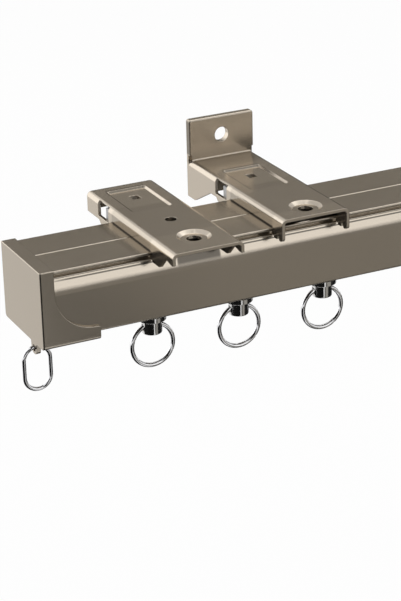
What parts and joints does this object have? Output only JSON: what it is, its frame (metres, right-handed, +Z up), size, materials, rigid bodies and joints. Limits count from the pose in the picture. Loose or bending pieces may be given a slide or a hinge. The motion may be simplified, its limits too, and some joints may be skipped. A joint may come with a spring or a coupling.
{
  "type": "curtain track",
  "caption": "Short ceiling or wall curtain rail: slotted C profile with flat top flange, end caps, clip-on brackets and wheeled ring carriers.",
  "frame": {"origin": "centre of the wall bracket's screw hole, on the face that meets the wall", "axes": "+X along the rail, +Y into the wall, +Z up"},
  "size_m": [0.2028, 0.0763, 0.0638],
  "materials": {
    "satin_bronze": "satin champagne-bronze electrophoretic coat",
    "cap_bronze": "satin champagne-bronze coat",
    "bracket_bronze": "satin champagne-bronze coat on pressed steel",
    "white_nylon": "white nylon",
    "spring_steel": "drawn spring wire",
    "satin_steel": "satin die-cast and turned steel",
    "race_steel": "ground bearing steel",
    "blue_tyre": "navy blue nylon tyre",
    "chrome_wire": "bright plated wire"
  },
  "bodies": {
    "rail": {"track_profile": "satin_bronze", "end_cap_left": "cap_bronze", "end_cap_right": "cap_bronze", "ceiling_bracket": "bracket_bronze", "wall_bracket": "bracket_bronze", "ceiling_lock_spring": "spring_steel", "wall_lock_spring": "spring_steel"},
    "end_ring_left": {"end_ring_left": "chrome_wire"},
    "end_ring_right": {"end_ring_right": "chrome_wire"},
    "ceiling_lock": {"ceiling_lock": "white_nylon"},
    "wall_lock": {"wall_lock": "white_nylon"},
    "left_carrier": {"left_carrier_yoke": "satin_steel", "left_carrier_axle": "satin_steel", "left_carrier_sleeve_left": "white_nylon", "left_carrier_sleeve_right": "white_nylon", "left_carrier_front_inner_race": "race_steel", "left_carrier_back_inner_race": "race_steel"},
    "left_carrier_front_wheel": {"left_carrier_front_tyre": "blue_tyre", "left_carrier_front_outer_race": "race_steel", "left_carrier_front_balls": "race_steel"},
    "left_carrier_back_wheel": {"left_carrier_back_tyre": "blue_tyre", "left_carrier_back_outer_race": "race_steel", "left_carrier_back_balls": "race_steel"},
    "left_carrier_swivel": {"left_carrier_swivel_stud": "satin_steel"},
    "left_carrier_ring": {"left_carrier_ring": "chrome_wire"},
    "middle_carrier": {"middle_carrier_yoke": "satin_steel", "middle_carrier_axle": "satin_steel", "middle_carrier_sleeve_left": "white_nylon", "middle_carrier_sleeve_right": "white_nylon", "middle_carrier_front_inner_race": "race_steel", "middle_carrier_back_inner_race": "race_steel"},
    "middle_carrier_front_wheel": {"middle_carrier_front_tyre": "blue_tyre", "middle_carrier_front_outer_race": "race_steel", "middle_carrier_front_balls": "race_steel"},
    "middle_carrier_back_wheel": {"middle_carrier_back_tyre": "blue_tyre", "middle_carrier_back_outer_race": "race_steel", "middle_carrier_back_balls": "race_steel"},
    "middle_carrier_swivel": {"middle_carrier_swivel_stud": "satin_steel"},
    "middle_carrier_ring": {"middle_carrier_ring": "chrome_wire"},
    "right_carrier": {"right_carrier_yoke": "satin_steel", "right_carrier_axle": "satin_steel", "right_carrier_sleeve_left": "white_nylon", "right_carrier_sleeve_right": "white_nylon", "right_carrier_front_inner_race": "race_steel", "right_carrier_back_inner_race": "race_steel"},
    "right_carrier_front_wheel": {"right_carrier_front_tyre": "blue_tyre", "right_carrier_front_outer_race": "race_steel", "right_carrier_front_balls": "race_steel"},
    "right_carrier_back_wheel": {"right_carrier_back_tyre": "blue_tyre", "right_carrier_back_outer_race": "race_steel", "right_carrier_back_balls": "race_steel"},
    "right_carrier_swivel": {"right_carrier_swivel_stud": "satin_steel"},
    "right_carrier_ring": {"right_carrier_ring": "chrome_wire"}
  },
  "joints": [
    {"name": "left_end_ring_swing", "type": "hinge", "parent": "rail", "child": "end_ring_left", "pos_m": [-0.0867, -0.0462, -0.04205], "axis": [1, 0, 0], "range_deg": [-80, 80]},
    {"name": "right_end_ring_swing", "type": "hinge", "parent": "rail", "child": "end_ring_right", "pos_m": [0.1061, -0.0462, -0.04205], "axis": [1, 0, 0], "range_deg": [-80, 80]},
    {"name": "ceiling_lock_release", "type": "slide", "parent": "rail", "child": "ceiling_lock", "axis": [0, 1, 0], "range_m": [0, 0.0019], "stiffness_N_per_m": 600, "springref_m": -0.002, "deforming": ["ceiling_lock_spring"]},
    {"name": "wall_lock_release", "type": "slide", "parent": "rail", "child": "wall_lock", "axis": [0, 1, 0], "range_m": [0, 0.0019], "stiffness_N_per_m": 600, "springref_m": -0.002, "deforming": ["wall_lock_spring"]},
    {"name": "left_carrier_travel", "type": "slide", "parent": "rail", "child": "left_carrier", "axis": [1, 0, 0], "range_m": [-0.023, 0.0068]},
    {"name": "left_carrier_front_wheel_spin", "type": "hinge", "parent": "left_carrier", "child": "left_carrier_front_wheel", "pos_m": [-0.0476, -0.05265, -0.0245], "axis": [0, 1, 0], "continuous": true},
    {"name": "left_carrier_back_wheel_spin", "type": "hinge", "parent": "left_carrier", "child": "left_carrier_back_wheel", "pos_m": [-0.0476, -0.03975, -0.0245], "axis": [0, 1, 0], "continuous": true},
    {"name": "left_carrier_swivel_turn", "type": "hinge", "parent": "left_carrier", "child": "left_carrier_swivel", "pos_m": [-0.0476, -0.0462, -0.0405], "axis": [0, 0, 1], "continuous": true},
    {"name": "left_carrier_ring_swing", "type": "hinge", "parent": "left_carrier_swivel", "child": "left_carrier_ring", "pos_m": [-0.0476, -0.0462, -0.04228], "axis": [1, 0, 0], "range_deg": [-20, 20]},
    {"name": "middle_carrier_travel", "type": "slide", "parent": "rail", "child": "middle_carrier", "axis": [1, 0, 0], "range_m": [-0.0068, 0.0068]},
    {"name": "middle_carrier_front_wheel_spin", "type": "hinge", "parent": "middle_carrier", "child": "middle_carrier_front_wheel", "pos_m": [-0.0169, -0.05265, -0.0245], "axis": [0, 1, 0], "continuous": true},
    {"name": "middle_carrier_back_wheel_spin", "type": "hinge", "parent": "middle_carrier", "child": "middle_carrier_back_wheel", "pos_m": [-0.0169, -0.03975, -0.0245], "axis": [0, 1, 0], "continuous": true},
    {"name": "middle_carrier_swivel_turn", "type": "hinge", "parent": "middle_carrier", "child": "middle_carrier_swivel", "pos_m": [-0.0169, -0.0462, -0.0405], "axis": [0, 0, 1], "continuous": true},
    {"name": "middle_carrier_ring_swing", "type": "hinge", "parent": "middle_carrier_swivel", "child": "middle_carrier_ring", "pos_m": [-0.0169, -0.0462, -0.04228], "axis": [1, 0, 0], "range_deg": [-20, 20]},
    {"name": "right_carrier_travel", "type": "slide", "parent": "rail", "child": "right_carrier", "axis": [1, 0, 0], "range_m": [-0.0068, 0.0765]},
    {"name": "right_carrier_front_wheel_spin", "type": "hinge", "parent": "right_carrier", "child": "right_carrier_front_wheel", "pos_m": [0.0138, -0.05265, -0.0245], "axis": [0, 1, 0], "continuous": true},
    {"name": "right_carrier_back_wheel_spin", "type": "hinge", "parent": "right_carrier", "child": "right_carrier_back_wheel", "pos_m": [0.0138, -0.03975, -0.0245], "axis": [0, 1, 0], "continuous": true},
    {"name": "right_carrier_swivel_turn", "type": "hinge", "parent": "right_carrier", "child": "right_carrier_swivel", "pos_m": [0.0138, -0.0462, -0.0405], "axis": [0, 0, 1], "continuous": true},
    {"name": "right_carrier_ring_swing", "type": "hinge", "parent": "right_carrier_swivel", "child": "right_carrier_ring", "pos_m": [0.0138, -0.0462, -0.04228], "axis": [1, 0, 0], "range_deg": [-20, 20]}
  ]
}
